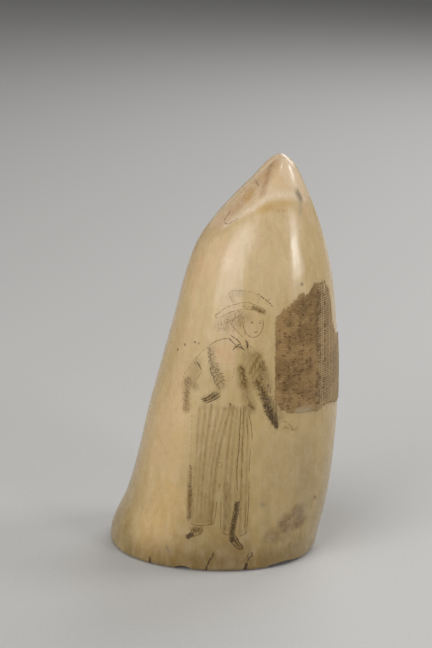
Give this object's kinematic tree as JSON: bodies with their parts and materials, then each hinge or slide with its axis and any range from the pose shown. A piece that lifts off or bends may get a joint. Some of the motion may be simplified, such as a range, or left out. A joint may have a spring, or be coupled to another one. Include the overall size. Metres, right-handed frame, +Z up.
{
  "type": "scrimshaw whale tooth",
  "caption": "Engraved sperm whale tooth that stands on its sawn hollow root, with a figure of a sailor on its front and a worn cloth label glued to one side.",
  "frame": {"origin": "on the surface the tooth stands on, under the middle of its box", "axes": "+Z up to the tip, -Y the engraved front, +X the side that the tip leans towards and the label is on"},
  "size_m": [0.0748, 0.0532, 0.13],
  "materials": {
    "ivory": "satin",
    "label_cloth": "matte"
  },
  "bodies": {
    "root": {"tooth": "ivory", "cloth_label": "label_cloth"}
  },
  "joints": []
}
